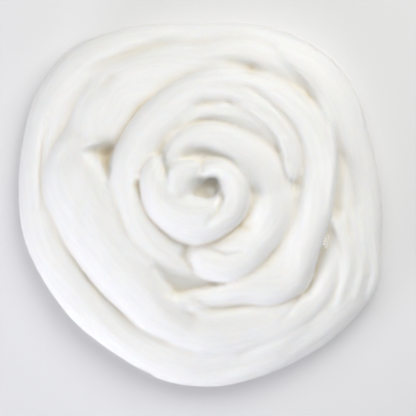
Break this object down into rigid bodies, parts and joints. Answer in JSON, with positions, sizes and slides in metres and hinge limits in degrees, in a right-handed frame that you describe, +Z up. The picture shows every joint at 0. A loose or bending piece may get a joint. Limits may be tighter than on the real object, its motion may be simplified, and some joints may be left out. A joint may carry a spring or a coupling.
{
  "type": "wool roving",
  "caption": "Length of undyed combed wool roving, wound flat by hand into a loose rose with a raised knot at its centre.",
  "frame": {"origin": "centre of the box, in the plane that the roving lies on", "axes": "+Z up from the table; +Y towards the top of the picture, which looks straight down"},
  "size_m": [0.2385, 0.2389, 0.0582],
  "materials": {
    "wool": "soft, matt, combed fibre with loose fuzz"
  },
  "bodies": {
    "root": {"roving": "wool"}
  },
  "joints": []
}
